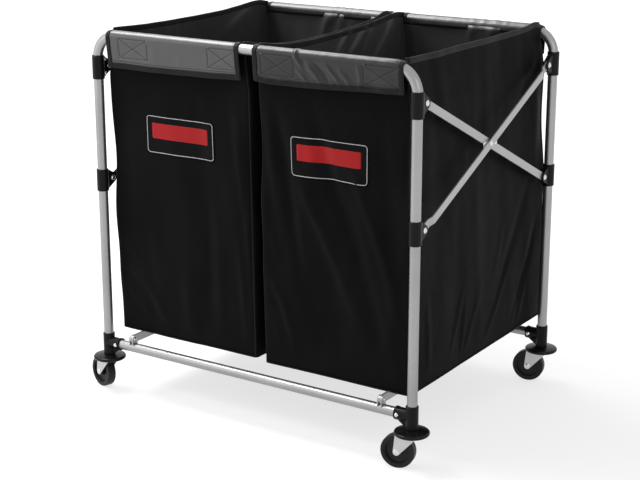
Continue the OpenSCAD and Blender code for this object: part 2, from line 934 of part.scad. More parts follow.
bag_hem(RIGHT, REAR);  // bag_right_rear_hem
inner_bar(LEFT);  // inner_bar_left
inner_bar(RIGHT);  // inner_bar_right
outer_bar(LEFT);  // outer_bar_left
outer_bar(RIGHT);  // outer_bar_right
centre_rivet(LEFT);  // centre_rivet_left
centre_rivet(RIGHT);  // centre_rivet_right
slider_body(LEFT, FRONT);  // slider_front_left
slider_body(RIGHT, FRONT);  // slider_front_right
slider_body(LEFT, REAR);  // slider_rear_left
slider_body(RIGHT, REAR);  // slider_rear_right
slider_pin(LEFT, FRONT);  // slider_pin_front_left
slider_pin(RIGHT, FRONT);  // slider_pin_front_right
slider_pin(LEFT, REAR);  // slider_pin_rear_left
slider_pin(RIGHT, REAR);  // slider_pin_rear_right
front_base_struts();
rear_base_struts();
base_cross_tube();
base_mid_rivets();
caster_fork(LEFT, FRONT, heading_front_left);  // fork_front_left
caster_fork(RIGHT, FRONT, heading_front_right);  // fork_front_right
caster_fork(LEFT, REAR, heading_rear_left);  // fork_rear_left
caster_fork(RIGHT, REAR, heading_rear_right);  // fork_rear_right
caster_wheel(LEFT, FRONT, heading_front_left);  // wheel_front_left
caster_wheel(RIGHT, FRONT, heading_front_right);  // wheel_front_right
caster_wheel(LEFT, REAR, heading_rear_left);  // wheel_rear_left
caster_wheel(RIGHT, REAR, heading_rear_right);  // wheel_rear_right
caster_axle(LEFT, FRONT, heading_front_left);  // axle_front_left
caster_axle(RIGHT, FRONT, heading_front_right);  // axle_front_right
caster_axle(LEFT, REAR, heading_rear_left);  // axle_rear_left
caster_axle(RIGHT, REAR, heading_rear_right);  // axle_rear_right
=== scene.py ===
import math

import bpy
import numpy as np
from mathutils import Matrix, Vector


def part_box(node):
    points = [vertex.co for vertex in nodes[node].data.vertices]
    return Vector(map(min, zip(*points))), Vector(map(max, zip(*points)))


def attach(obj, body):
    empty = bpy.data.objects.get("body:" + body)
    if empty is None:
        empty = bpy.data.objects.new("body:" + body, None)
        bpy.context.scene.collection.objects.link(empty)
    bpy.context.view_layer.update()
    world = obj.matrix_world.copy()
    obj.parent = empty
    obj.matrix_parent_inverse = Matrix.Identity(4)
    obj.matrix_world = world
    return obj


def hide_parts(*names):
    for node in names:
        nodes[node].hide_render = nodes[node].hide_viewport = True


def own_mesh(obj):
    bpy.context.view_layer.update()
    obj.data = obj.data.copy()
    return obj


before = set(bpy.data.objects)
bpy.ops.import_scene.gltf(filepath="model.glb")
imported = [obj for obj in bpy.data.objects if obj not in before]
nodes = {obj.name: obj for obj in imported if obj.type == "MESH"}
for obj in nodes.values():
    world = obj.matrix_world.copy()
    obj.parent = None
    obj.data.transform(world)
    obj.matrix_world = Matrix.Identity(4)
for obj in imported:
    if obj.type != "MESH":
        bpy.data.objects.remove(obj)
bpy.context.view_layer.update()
print("frame loaded,", len(nodes), "nodes")


def boxOf(name):
    low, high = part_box(name)
    return np.array(low, float), np.array(high, float)


def newObject(name, data):
    obj = bpy.data.objects.new(name, data)
    bpy.context.scene.collection.objects.link(obj)
    return obj


def setInputs(tree, node, values):
    # Each value is a number, a colour or the output of another node.
    for name, value in values.items():
        if isinstance(value, bpy.types.NodeSocket):
            tree.links.new(value, node.inputs[name])
        else:
            node.inputs[name].default_value = value


def addNode(tree, kind, values):
    node = tree.nodes.new("ShaderNode" + kind)
    setInputs(tree, node, values)
    return node


def mathNode(tree, operation, *values):
    node = addNode(tree, "Math", dict(enumerate(values)))
    node.operation = operation
    return node.outputs[0]


studio = {
    "target": (-0.0138, -0.0092, 0.3603),
    "azimuth": 33.72,  # degrees from the front toward the right
    "elevation": 15.88,
    "distance": 3.563,
    "lens": 85.58,
    "sensor": 36,
    "farClip": 60,
    "worldFill": 0.55,  # light that the white room gives to matt surfaces
    "floorHalf": 14.0,
    "floorColour": 0.38,
    "floorGlow": (0.70, 1.0),  # what the floor adds of its own for the camera, near and far
    "glowReach": (0.9, 2.4),  # distances from the middle between which it rises
    "lamps": {  # place, aim, width, height, watts
        "keyLamp": ((-1.4, -0.7, 2.65), (0.0, -0.2, 0.6), 1.4, 1.1, 50),
        "fillLamp": ((2.6, -1.2, 1.7), (0.0, 0.0, 0.45), 1.2, 1.2, 6),
        "topLamp": ((-1.25, 0.35, 2.65), (0.0, -0.1, 0.7), 2.0, 1.2, 48),
        "lowLamp": ((-1.9, -2.0, 1.3), (-0.3, -0.3, 0.6), 2.2, 1.8, 16),
    },
}


def aimAt(obj, place, target):
    obj.location = place
    away = np.array(place, float) - np.array(target, float)
    away /= np.linalg.norm(away)
    tilt = math.acos(max(-1, min(1, away[2])))
    obj.rotation_euler = (tilt, 0, math.atan2(away[0], -away[1]))


def makeCamera():
    az, el = math.radians(studio["azimuth"]), math.radians(studio["elevation"])
    back = np.array([math.sin(az) * math.cos(el), -math.cos(az) * math.cos(el), math.sin(el)])
    data = bpy.data.cameras.new("viewCamera")
    data.lens = studio["lens"]
    data.sensor_width = studio["sensor"]
    data.clip_end = studio["farClip"]
    camera = newObject("viewCamera", data)
    aimAt(camera, np.array(studio["target"]) + studio["distance"] * back, studio["target"])
    bpy.context.scene.camera = camera


def makeLamps():
    for name, (place, target, width, height, watts) in studio["lamps"].items():
        data = bpy.data.lights.new(name, "AREA")
        data.shape = "RECTANGLE"
        data.size, data.size_y, data.energy = width, height, watts
        aimAt(newObject(name, data), place, target)


def seenDirectly(tree):
    # Factor that is 1 for rays from the camera, a mirror or glass, and 0 for matt light.
    rays = addNode(tree, "LightPath", {}).outputs
    cameraOrMirror = mathNode(tree, "MAXIMUM", rays["Is Camera Ray"], rays["Is Glossy Ray"])
    return mathNode(tree, "MAXIMUM", cameraOrMirror, rays["Is Transmission Ray"])


def lightsByRay(tree, kind, matt, seen):
    # White light of one strength for matt surfaces and of another for rays that see it directly.
    first, second = (addNode(tree, kind, {"Color": (1, 1, 1, 1), "Strength": strength}).outputs[0]
                     for strength in (matt, seen))
    return addNode(tree, "MixShader", {0: seenDirectly(tree), 1: first, 2: second}).outputs[0]


def clearedTree(owner):
    owner.use_nodes = True
    owner.node_tree.nodes.clear()
    return owner.node_tree


def makeWorld():
    world = bpy.data.worlds.new("whiteRoom")
    tree = clearedTree(world)
    light = lightsByRay(tree, "Background", studio["worldFill"], 1.0)
    addNode(tree, "OutputWorld", {"Surface": light})
    bpy.context.scene.world = world


def floorShader(tree):
    # Matt grey, with a white glow that grows a little far from the middle and gives no matt light
    reach = addNode(tree, "VectorMath", {0: addNode(tree, "TexCoord", {}).outputs["Object"]})
    reach.operation = "LENGTH"
    limits = zip(("From Min", "From Max", "To Min", "To Max"), studio["glowReach"] + studio["floorGlow"])
    rise = addNode(tree, "MapRange", {"Value": reach.outputs["Value"], **dict(limits)})
    glow = lightsByRay(tree, "Emission", 0.0, rise.outputs["Result"])
    matt = addNode(tree, "BsdfDiffuse", {"Color": (studio["floorColour"],) * 3 + (1,)})
    return addNode(tree, "AddShader", {0: matt.outputs[0], 1: glow}).outputs[0]


def makeFloor():
    mesh = bpy.data.meshes.new("studioFloor")
    half = studio["floorHalf"]
    mesh.from_pydata([(-half, -half, 0), (half, -half, 0), (half, half, 0), (-half, half, 0)],
                     [], [(0, 1, 2, 3)])
    floor = newObject("studioFloor", mesh)
    paint = bpy.data.materials.new("paleFloor")
    tree = clearedTree(paint)
    addNode(tree, "OutputMaterial", {"Surface": floorShader(tree)})
    mesh.materials.append(paint)


bpy.context.scene.view_settings.view_transform = "Standard"
makeCamera()
makeWorld()
makeLamps()
makeFloor()
print("studio ready")


# noise is in waves per metre, spread is how far the roughness wanders, and bump is in metres
finishes = {
    "satinTube": dict(colour=(0.32, 0.323, 0.328), metallic=0.9, roughness=0.36, stretch=(1, 1, 0.04)),
    "flatBarSteel": dict(colour=(0.40, 0.40, 0.40), metallic=0.75, roughness=0.42, noise=700,
                         stretch=(1, 0.06, 0.06)),
    "brightScrew": dict(colour=(0.62, 0.62, 0.62), metallic=1.0, roughness=0.22, noise=1500,
                        spread=0.08, bump=0.00001),
    "zincSheet": dict(colour=(0.52, 0.52, 0.51), metallic=0.85, roughness=0.36, noise=260,
                      spread=0.16, bump=0.00003),
    "mouldedBlack": dict(colour=(0.007, 0.007, 0.0075), roughness=0.34, noise=1400, spread=0.12,
                         bump=0.00005, ior=1.22),
    "saucerBlack": dict(colour=(0.007, 0.007, 0.0075), roughness=0.24, ior=1.25),
    "wheelBlack": dict(colour=(0.014, 0.014, 0.0145), roughness=0.46, noise=800, spread=0.12,
                       bump=0.00006, ior=1.3),
}

grainRules = {
    "cloudScale": 9,  # of the slow noise in every hard finish
    "cloudDetail": 4,
    "grainDetail": 2,
    "dark": 0.93,  # shares of a finish's own colour
    "light": 1.06,
    "shadeStops": (0.3, 0.7),
}


def newMaterial(name):
    paint = bpy.data.materials.new(name)
    paint.use_nodes = True
    return paint, paint.node_tree, paint.node_tree.nodes["Principled BSDF"]


def objectPlace(tree, scale=(1, 1, 1)):
    place = addNode(tree, "TexCoord", {}).outputs["Object"]
    return addNode(tree, "Mapping", {"Scale": scale, "Vector": place}).outputs["Vector"]


def noiseAt(tree, vector, scale, detail):
    return addNode(tree, "TexNoise", {"Scale": scale, "Detail": detail, "Vector": vector}).outputs["Fac"]


def spreadRange(tree, value, low, high):
    return addNode(tree, "MapRange", {"To Min": low, "To Max": high, "Value": value}).outputs["Result"]


def shadeRange(tree, value, dark, light):
    ramp = addNode(tree, "ValToRGB", {"Fac": value})
    for stop, place, tone in zip(ramp.color_ramp.elements, grainRules["shadeStops"], (dark, light)):
        stop.position = place
        stop.color = tuple(tone) + (1,)
    return ramp.outputs["Color"]


def bumpFrom(tree, height, depth, **under):
    return addNode(tree, "Bump", {"Distance": depth, "Height": height, **under}).outputs["Normal"]


def hardFinish(name, colour, roughness, metallic=0, noise=900, spread=0.1, bump=0.00002,
               stretch=(1, 1, 1), ior=1.5):
    # Base colour and roughness wander a little with cloudy noise; fine noise, stretched along the part,
    # gives the grain.
    paint, tree, shader = newMaterial(name)
    cloud = noiseAt(tree, objectPlace(tree), grainRules["cloudScale"], grainRules["cloudDetail"])
    grain = noiseAt(tree, objectPlace(tree, stretch), noise, grainRules["grainDetail"])
    tone = np.array(colour)
    shade = shadeRange(tree, cloud, tone * grainRules["dark"], np.minimum(tone * grainRules["light"], 1))
    mean = mathNode(tree, "MULTIPLY", mathNode(tree, "ADD", cloud, grain), 0.5)
    dull = spreadRange(tree, mean, roughness - spread / 2, roughness + spread / 2)
    setInputs(tree, shader, {"Base Color": shade, "Roughness": dull, "Metallic": metallic, "IOR": ior,
                             "Normal": bumpFrom(tree, grain, bump)})
    return paint


paints = {name: hardFinish(name, **facts) for name, facts in finishes.items()}

# the first finish that has a word of a node's name is the node's own
nodeFinish = {
    "satinTube": ("frame_tube", "bottom_rail", "cross_tube"),
    "flatBarSteel": ("strut_brackets", "base_struts", "inner_bar", "outer_bar"),
    "brightScrew": ("bolts", "pins", "pin_", "rivet", "stems", "axle"),
    "mouldedBlack": ("clamp", "slider", "socket"),
    "saucerBlack": ("bumper",),
    "zincSheet": ("fork",),
    "wheelBlack": ("wheel",),
}


def dressNodes():
    for name, obj in nodes.items():
        fitting = [finish for finish, words in nodeFinish.items() if any(word in name for word in words)]
        for slot in obj.material_slots:
            slot.material = paints[fitting[0] if fitting else "mouldedBlack"]


dressNodes()
print("hard parts finished")


def gridFaces(index):
    # Four-sided faces of a table of vertex numbers.
    return np.stack([index[:-1, :-1], index[:-1, 1:], index[1:, 1:], index[1:, :-1]], -1).reshape(-1, 4)


def unit(vectors):
    return vectors / np.maximum(np.linalg.norm(vectors, axis=-1, keepdims=True), 1e-12)


def surfaceNormals(points, closed):
    # Cross product of the steps across and up the grid, as unit vectors.
    if closed:
        wide = np.concatenate([points[:, -1:], points, points[:, :1]], 1)
        across = wide[:, 2:] - wide[:, :-2]
    else:
        across = np.gradient(points, axis=1)
    return unit(np.cross(across, np.gradient(points, axis=0)))


def newPiece(name, points, cells, paint, uv=None, smooth=True):
    # points is any array of places; uv holds one pair for each face corner.
    mesh = bpy.data.meshes.new(name)
    mesh.from_pydata(np.asarray(points, float).reshape(-1, 3).tolist(), [], cells)
    if uv is not None:
        layer = mesh.uv_layers.new(name="cloth")
        layer.data.foreach_set("uv", np.asarray(uv, np.float32).ravel())
    mesh.polygons.foreach_set("use_smooth", np.full(len(mesh.polygons), smooth))
    mesh.materials.append(paint)
    mesh.update()
    return newObject(name, mesh)


def sheetCells(rows, cols, closed, capped):
    # Faces of a thickened grid: outer and inner sheets, then the strips that join their open edges. The
    # fans that close a capped first row meet in one middle point for each sheet.
    count = rows * cols
    front = np.arange(count).reshape(rows, cols)
    if closed:
        front = np.concatenate([front, front[:, :1]], 1)
    back = front + count
    faces = [gridFaces(front), gridFaces(back)[:, ::-1]]
    faces.append(np.stack([front[-1, :-1], front[-1, 1:], back[-1, 1:], back[-1, :-1]], 1))
    if not capped:
        faces.append(np.stack([front[0, 1:], front[0, :-1], back[0, :-1], back[0, 1:]], 1))
    if not closed:
        faces.append(np.stack([front[:-1, 0], front[1:, 0], back[1:, 0], back[:-1, 0]], 1))
        faces.append(np.stack([front[1:, -1], front[:-1, -1], back[:-1, -1], back[1:, -1]], 1))
    cells = np.concatenate(faces).tolist()
    if capped:
        steps = list(zip(front[0, :-1].tolist(), front[0, 1:].tolist()))
        cells += [[b, a, 2 * count] for a, b in steps]
        cells += [[a + count, b + count, 2 * count + 1] for a, b in steps]
    return cells, len(faces[0])


def unrolled(cells, rows, cols, spare, closed, size):
    # The uv pair of each face corner, for both sheets alike. Round a closed piece the last column of
    # faces ends at the full width, not back at nought.
    width, height = size
    steps = cols if closed else cols - 1
    flat = np.stack(np.meshgrid(np.arange(cols) / steps * width, np.arange(rows) / (rows - 1) * height), -1)
    table = np.concatenate([flat.reshape(-1, 2)] * 2 + [np.zeros((spare, 2))])
    corners = table[np.concatenate(cells)]
    if closed:
        # such a face has corners in the last quarter of the width and in the first
        first, last = 0.25 * width, 0.75 * width
        sides = [[table[i][0] for i in face] for face in cells]
        wraps = np.repeat([max(us) > last and min(us) < first for us in sides], [len(us) for us in sides])
        corners[wraps & (corners[:, 0] < first), 0] += width
    return corners


def clothPiece(name, points, thickness, paint, closed=False, capped=False, uvSize=(1, 1), lining=None):
    # A sheet given by a grid of points, thickened toward its back. lining is the paint of its back.
    rows, cols = points.shape[:2]
    inner = points - surfaceNormals(points, closed) * thickness
    middles = [points[0].mean(0), inner[0].mean(0)] if capped else []
    places = np.concatenate([points.reshape(-1, 3), inner.reshape(-1, 3), np.reshape(middles, (-1, 3))])
    cells, count = sheetCells(rows, cols, closed, capped)
    piece = newPiece(name, places, cells, paint,
                     unrolled(cells, rows, cols, len(middles), closed, uvSize))
    if lining is not None:
        backFaces = np.zeros(len(cells), np.int32)
        backFaces[count:2 * count] = 1
        piece.data.materials.append(lining)
        piece.data.polygons.foreach_set("material_index", backFaces)
    return piece


def sweptPiece(name, path, across, radii, paint, sides, closed=False, squareness=1.0):
    # A closed section carried along a path. The section is an ellipse, squared off by a power under
    # one; across gives its first axis at each point and the second is square to the path.
    path, across = np.asarray(path, float), np.asarray(across, float)
    if closed:
        step = np.roll(path, -1, 0) - np.roll(path, 1, 0)
    else:
        step = np.gradient(path, axis=0)
    step = unit(step)
    first = unit(across - step * (across * step).sum(1, keepdims=True))
    second = np.cross(step, first)
    turn = np.linspace(0, 2 * math.pi, sides, endpoint=False)
    wide, high = (np.sign(wave) * np.abs(wave) ** squareness for wave in (np.cos(turn), np.sin(turn)))
    ring = (path[:, None] + radii[0] * wide[None, :, None] * first[:, None]
            + radii[1] * high[None, :, None] * second[:, None])
    index = np.arange(len(path) * sides).reshape(len(path), sides)
    index = np.concatenate([index, index[:, :1]], 1)
    if closed:
        index = np.concatenate([index, index[:1]], 0)
    cells = gridFaces(index)[:, ::-1].tolist()
    if not closed:
        cells += [index[0, :-1].tolist(), index[-1, :-1][::-1].tolist()]
    return newPiece(name, ring, cells, paint)


foldShape = {
    "hollow": 0.45,  # the hollow beside a fold, as a share of its height
    "hollowSpread": 0.6,
    "ends": (0.02, 0.98),
    "fade": 0.7,
}

waveRules = {"count": 11, "drift": (3, 9), "even": 3}


def stepsFrom(a, z, start, stop):
    # For each place the share of the line at its nearest point, and the two steps from there
    way = stop - start
    length = np.linalg.norm(way)
    way = way / length
    t = np.clip(((a - start[0]) * way[0] + (z - start[1]) * way[1]) / length, 0, 1)
    return t, a - start[0] - t * length * way[0], z - start[1] - t * length * way[1], way


def foldHeight(a, z, folds):
    # Each fold is a line of points in millimetres with a width and a height. Its height is a bell
    # across the line, with a shallow hollow on one side, and it dies out toward both ends.
    total = np.zeros(np.shape(a))
    for line, width, height in folds:
        line = np.array(line, float) / 1000
        best = np.full(np.shape(a), 1e9)
        along = np.zeros(np.shape(a))
        sideways = np.zeros(np.shape(a))
        for number, (start, stop) in enumerate(zip(line[:-1], line[1:])):
            t, da, dz, way = stepsFrom(a, z, start, stop)
            gap = np.hypot(da, dz)
            nearer = gap < best
            best = np.where(nearer, gap, best)
            sideways = np.where(nearer, da * way[1] - dz * way[0], sideways)
            along = np.where(nearer, (number + t) / (len(line) - 1), along)
        w = width / 1000
        near = -(best / w) ** 2
        hollow = foldShape["hollow"] * np.exp(near * foldShape["hollowSpread"]) * np.tanh(sideways / w)
        fade = np.clip(np.sin(math.pi * np.clip(along, *foldShape["ends"])), 0, 1) ** foldShape["fade"]
        total += height / 1000 * (np.exp(near) - hollow) * fade
    return total


def clothWaves(a, z, seed, height, longest, shortest, slope=0.25):
    # A sum of sine waves whose crests run nearly upright, of random phase and falling height.
    dice = np.random.default_rng(seed)
    total = np.zeros(np.shape(a))
    for share in np.linspace(0, 1, waveRules["count"]):
        length = longest * (shortest / longest) ** share
        lean = dice.uniform(-slope, slope)
        phase = dice.uniform(0, 2 * math.pi, 2)
        drift = np.sin(z * dice.uniform(*waveRules["drift"]) + phase[1])
        total += length / longest * np.sin(2 * math.pi * (a + lean * z) / length + phase[0] + drift)
    return total * height / waveRules["even"]


cloths = {
    "bagNylon": dict(colour=0.0080, roughness=0.44, level=0.5, ior=1.07, crumpleDepth=0.0012, sheen=0.01),
    # the lining is the cloth's coated inner side, glossier than the outside by its own nature; its lighter
    # colour is painted light, standing in for light that falls inside the bag
    "bagLiningGlossAndPaintedLight": dict(colour=0.032, roughness=0.36, level=0.5, crumpleDepth=0.0012, sheen=0.1),
    # the flap paints are one cloth in lit and shaded copies: the left flap's lighter colour is painted light
    # from the lamps, and the right and rear flaps' darker colours are painted shade
    "leftFlapNylon": dict(colour=0.015, roughness=0.32, level=0.8, crumple=34, sheen=0.1),
    "rightFlapNylon": dict(colour=0.004, roughness=0.30, level=0.42, crumple=34, crumpleDepth=0.0010,
                           sheen=0.02),
    "rearFlapNylon": dict(colour=0.007, roughness=0.30, level=0.8, crumple=34, crumpleDepth=0.0010,
                          sheen=0.03),
    "bindingTape": dict(colour=0.006, roughness=0.6, level=0.4, ior=1.25, weave=700, weaveDepth=0.00015,
                        crumple=60, crumpleDepth=0.0003, sheen=0.1),
    "seamThread": dict(colour=0.010, roughness=0.6, level=0.2, weave=2500, weaveDepth=0.0001,
                       crumple=90, crumpleDepth=0.0001, sheen=0.2),
}

weaveRules = {
    "softDetail": 5,
    "slowScale": 6,
    "slowDetail": 3,
    "turn": 6.28,  # from threads per metre to the band texture's scale
    "distortion": 0.6,
    "dark": 0.85,  # shares of a cloth's own colour
    "light": 1.2,
    "drift": 0.08,  # of the roughness
    "sheenRoughness": 0.5,
}


def weaveFinish(name, colour, roughness, level, sheen, weave=1500, weaveDepth=0.00005,
                crumple=26, crumpleDepth=0.0007, ior=1.5):
    # Plain weave: two crossed bands on the cloth's own place, over a slow crumple; colour and roughness
    # drift with the crumple.
    paint, tree, shader = newMaterial(name)
    place = objectPlace(tree)
    soft = noiseAt(tree, place, crumple, weaveRules["softDetail"])
    slow = noiseAt(tree, place, weaveRules["slowScale"], weaveRules["slowDetail"])
    heights = []
    for direction in ("X", "Z"):
        band = addNode(tree, "TexWave", {"Scale": weave / weaveRules["turn"], "Vector": place,
                                         "Distortion": weaveRules["distortion"]})
        band.wave_type = "BANDS"
        band.bands_direction = direction
        heights.append(band.outputs["Fac"])
    cross = mathNode(tree, "MULTIPLY", *heights)
    under = bumpFrom(tree, soft, crumpleDepth)
    tone = np.full(3, colour)
    shade = shadeRange(tree, slow, tone * weaveRules["dark"], tone * weaveRules["light"])
    dull = spreadRange(tree, soft, roughness - weaveRules["drift"], roughness + weaveRules["drift"])
    setInputs(tree, shader, {
        "Base Color": shade, "Roughness": dull, "Specular IOR Level": level, "IOR": ior,
        "Normal": bumpFrom(tree, cross, weaveDepth, Normal=under),
        "Sheen Weight": sheen, "Sheen Roughness": weaveRules["sheenRoughness"]})
    return paint


paints.update({name: weaveFinish(name, **facts) for name, facts in cloths.items()})


bagCut = {
    "thickness": 0.0013,
    "panelOffset": 0.0124,  # from a tube's middle line to the panel that hangs from it
    "width": 0.38,
    "depth": 0.587,
    "height": 0.69,
    "cornerRadius": 0.007,
    "cornerSteps": 5,
    "columnStep": 0.0066,
    "wallRows": 86,
    "uvSize": (1.89, 0.9),
    "floorRows": (  # how far in from the walls, and how far above the floor
        (0.165, 0), (0.12, 0), (0.08, 0), (0.05, 0.0006), (0.03, 0.0022), (0.016, 0.0045), (0.006, 0.0072)),
    "floorDrop": 0.0096,  # the floor lies this far under its seam
    "wideShare": 0.85,  # share of the height at which the side walls reach their own width
    "frontTop": 0.8455,  # where the front and rear panels end, inside the hem
    "earWidth": 0.012,  # and how far from their ends they rise to the side panels' rims
    "rimSmoothing": 2,
    "leanTop": 0.8327,  # the panels lean below this height
    "frontSetback": 0.018,
    "rearSpread": 0.048,  # how far the floor reaches out behind the rear hem
    "rearCurve": 0.6,  # power of the lean's share: the rear wall bellies out
    "foldGain": 1.9,
    "sideGain": 1.15,
    "frontWaves": (0.0011, 0.22, 0.045),  # height, longest and shortest wave
    "broadWaves": (0.0022, 0.5, 0.12),
    "sideWaves": (0.0016, 0.26, 0.05),
    "puckerWaves": (0.0016, 0.03, 0.2),
    "flapHush": (0.79, 0.12, 0.15),  # height, run and least share of the folds under the flap
    "floorHush": (0.145, 0.05, 0.3),  # and above the floor
    "seedSteps": {"front": 0, "leftSide": 1, "rightSide": 2, "rear": 3, "pucker": 5, "broad": 9},
    "cornerPinch": 0.0015,
    "pinchReach": 0.012,
    "foldReach": 0.03,  # folds have their full height this far from a corner seam
    "seamShare": 0.35,  # and this share of it at the seam
    "left": {
        # x of the two side walls at the floor, at the wide share and at the rim
        "walls": ((-0.395, -0.394, -0.380), (-0.006, -0.004, -0.014)),
        "seam": (0.152, 0.157),  # heights of the floor seam, front and rear
        "seed": 4,
        # rim of each side panel: place along it and height, in millimetres
        "leftRim": [(-293, 862), (-230, 859), (-168, 857), (-80, 856), (0, 856), (111, 858), (187, 862),
                    (245, 867), (280, 867), (293, 862)],
        "rightRim": [(-293, 860), (-250, 850), (-181, 842), (-115, 838), (23, 839), (77, 841), (171, 846),
                     (229, 852), (268, 862), (284, 866), (293, 862)],
    },
    "right": {
        "walls": ((0.019, 0.019, 0.021), (0.391, 0.394, 0.384)),
        "seam": (0.147, 0.158),
        "seed": 11,
        "leftRim": [(-293, 860), (-250, 853), (-181, 845), (-100, 844), (-28, 845), (25, 847), (117, 851),
                    (174, 856), (252, 864), (280, 865), (293, 862)],
        "rightRim": [(-293, 861), (-186, 859), (-115, 860), (-40, 860), (118, 860), (224, 863), (270, 868),
                     (284, 868), (293, 865)],
    },
}

# folds of each panel, in millimetres: points by place along the panel and height, and then the
# fold's width and height
bagFolds = {
    "left_front": [
        ([(-372, 312), (-315, 276), (-270, 214), (-236, 164)], 13, 3.4),
        ([(-384, 270), (-330, 225), (-290, 165)], 11, 2.0),
        ([(-380, 378), (-359, 357), (-335, 330)], 7, 2.0),
        ([(-193, 330), (-193, 240), (-190, 160)], 20, 1.8),
        ([(-128, 520), (-134, 350), (-140, 200)], 16, -1.8),
        ([(-106, 400), (-105, 260), (-103, 165)], 18, 1.8),
        ([(-44, 420), (-36, 290), (-33, 160)], 9, 2.6),
        ([(-58, 775), (-36, 690), (-20, 600), (-10, 474), (-14, 300)], 16, 3.6),
        ([(-40, 764), (-12, 700), (-4, 640)], 7, 2.2),
        ([(-46, 668), (-30, 560), (-25, 470)], 8, 1.6),
        ([(-8, 285), (-20, 240), (-18, 165)], 10, 2.8),
    ],
    "left_leftSide": [
        ([(235, 850), (193, 835), (148, 812), (105, 780)], 16, -5.0),
        ([(257, 840), (256, 760), (250, 640)], 10, -4.0),
        ([(-79, 853), (-71, 833), (-66, 800)], 6, -1.6),
        ([(-44, 852), (-36, 826), (-34, 795)], 6, -1.6),
        ([(2, 853), (1, 818), (4, 780)], 6, -1.6),
        ([(-110, 850), (-106, 820), (-104, 790)], 6, -1.3),
        ([(40, 850), (44, 815), (40, 770)], 7, -1.3),
    ],
    "left_rightSide": [
        ([(240, 840), (160, 760), (90, 600)], 20, 4.0),
        ([(-200, 700), (-120, 500), (-60, 260)], 22, -3.5),
    ],
    "left_rear": [
        ([(-213, 785), (-197, 818), (-172, 846)], 9, -5.0),
        ([(-150, 845), (-160, 815), (-185, 770)], 7, -2.4),
        ([(-122, 845), (-130, 810), (-150, 760)], 7, -2.0),
        ([(-340, 840), (-330, 700), (-300, 500)], 18, -4.0),
        ([(-60, 840), (-80, 700), (-90, 480)], 20, -4.0),
    ],
    "right_front": [
        ([(50, 775), (64, 700), (84, 580), (100, 460), (122, 340)], 14, -4.0),
        ([(30, 740), (46, 620), (62, 500)], 12, 2.0),
        ([(118, 600), (140, 540), (176, 480), (224, 372), (280, 262)], 17, 4.5),
        ([(126, 780), (160, 707), (196, 578), (251, 460), (288, 334), (324, 205)], 19, -4.8),
        ([(250, 620), (278, 552), (308, 490), (342, 392), (362, 290)], 14, 3.6),
        ([(22, 366), (44, 336), (70, 290), (98, 190)], 12, 3.0),
        ([(38, 328), (58, 275), (84, 195)], 11, -2.2),
        ([(38, 470), (44, 430), (60, 395)], 9, 1.8),
        ([(307, 773), (330, 600), (352, 420)], 22, -2.6),
    ],
    "right_leftSide": [
        ([(62, 850), (43, 835), (3, 795), (-20, 740)], 9, -4.2),
        ([(130, 850), (118, 838), (62, 790), (40, 730)], 10, -4.6),
        ([(160, 856), (148, 830), (116, 775), (100, 700)], 9, -4.0),
        ([(250, 856), (236, 835), (214, 805), (166, 765), (140, 690)], 14, -6.0),
        ([(278, 850), (272, 790), (262, 700)], 9, -3.0),
    ],
    "right_rightSide": [
        ([(-52, 330), (-80, 250), (-108, 185)], 6, 2.2),
        ([(-40, 300), (-50, 220), (-60, 158)], 5, 1.8),
        ([(22, 300), (-8, 240), (-44, 172)], 6, 1.8),
        ([(180, 360), (138, 290), (100, 235), (48, 168)], 6, 3.0),
        ([(214, 230), (196, 195), (172, 158)], 7, 2.2),
        ([(250, 520), (200, 420), (163, 359), (115, 270)], 16, -3.6),
        ([(123, 430), (112, 380), (90, 310)], 10, 1.6),
        ([(300, 420), (262, 320), (222, 247), (168, 159)], 12, -2.8),
        ([(-215, 350), (-206, 260), (-198, 162)], 9, 2.2),
        ([(286, 790), (220, 735), (150, 680)], 14, -3.0),
        ([(250, 260), (234, 215), (212, 160)], 7, 2.0),
    ],
    "right_rear": [
        ([(200, 800), (210, 830), (222, 846)], 7, -3.0),
        ([(252, 815), (268, 838), (280, 846)], 8, -4.0),
        ([(300, 842), (290, 800), (270, 750)], 8, -2.2),
        ([(40, 840), (50, 760), (48, 660)], 14, -3.4),
        ([(350, 840), (340, 700), (320, 520)], 18, -3.6),
    ],
}


def panelReach():
    # y of the front and rear panels at the rim, where the hems leave the tubes
    reach = [boxOf(f"{end}_frame_tube") for end in ("front", "rear")]
    frontY, rearY = ((low[1] + high[1]) / 2 for low, high in reach)
    return frontY + bagCut["panelOffset"], rearY - bagCut["panelOffset"]


def wallBounds(side, z, share):
    # The four walls' planes: the side walls by share of the height between seam and rim, and the front
    # and rear walls by the height itself, upright above the top of their lean
    frontY, rearY = panelReach()
    lean = np.clip((bagCut["leanTop"] - z) / (bagCut["leanTop"] - min(bagCut[side]["seam"])), 0, 1)
    stops = (0, bagCut["wideShare"], 1)
    x0, x1 = (np.interp(share, stops, wall) for wall in bagCut[side]["walls"])
    y0 = frontY + lean * bagCut["frontSetback"]
    y1 = rearY + lean ** bagCut["rearCurve"] * bagCut["rearSpread"]
    return x0, x1, y0, y1


def outline(bounds, tx, ty, nx, ny):
    # Places on a rounded rectangle between the walls: shares of its straight runs, and the way out
    x0, x1, y0, y1 = bounds
    radius = bagCut["cornerRadius"]
    return (x0 + radius + tx * (x1 - x0 - 2 * radius) + radius * nx,
            y0 + radius + ty * (y1 - y0 - 2 * radius) + radius * ny)


def seedFor(side, use):
    return bagCut[side]["seed"] + bagCut["seedSteps"][use]


def floorHush(z):
    height, run, least = bagCut["floorHush"]
    return np.clip((z - height) / run, least, 1)


def frontFold(side, x, z):
    # How far the front panel stands proud, at any place on it.
    height, run, least = bagCut["flapHush"]
    hush = np.clip((height - z) / run, least, 1) * floorHush(z)
    waves = clothWaves(x, z, seedFor(side, "front"), *bagCut["frontWaves"])
    field = foldHeight(x, z, bagFolds[f"{side}_front"]) + waves
    field = field + clothWaves(x, z, seedFor(side, "broad"), *bagCut["broadWaves"])
    return field * hush * bagCut["foldGain"]


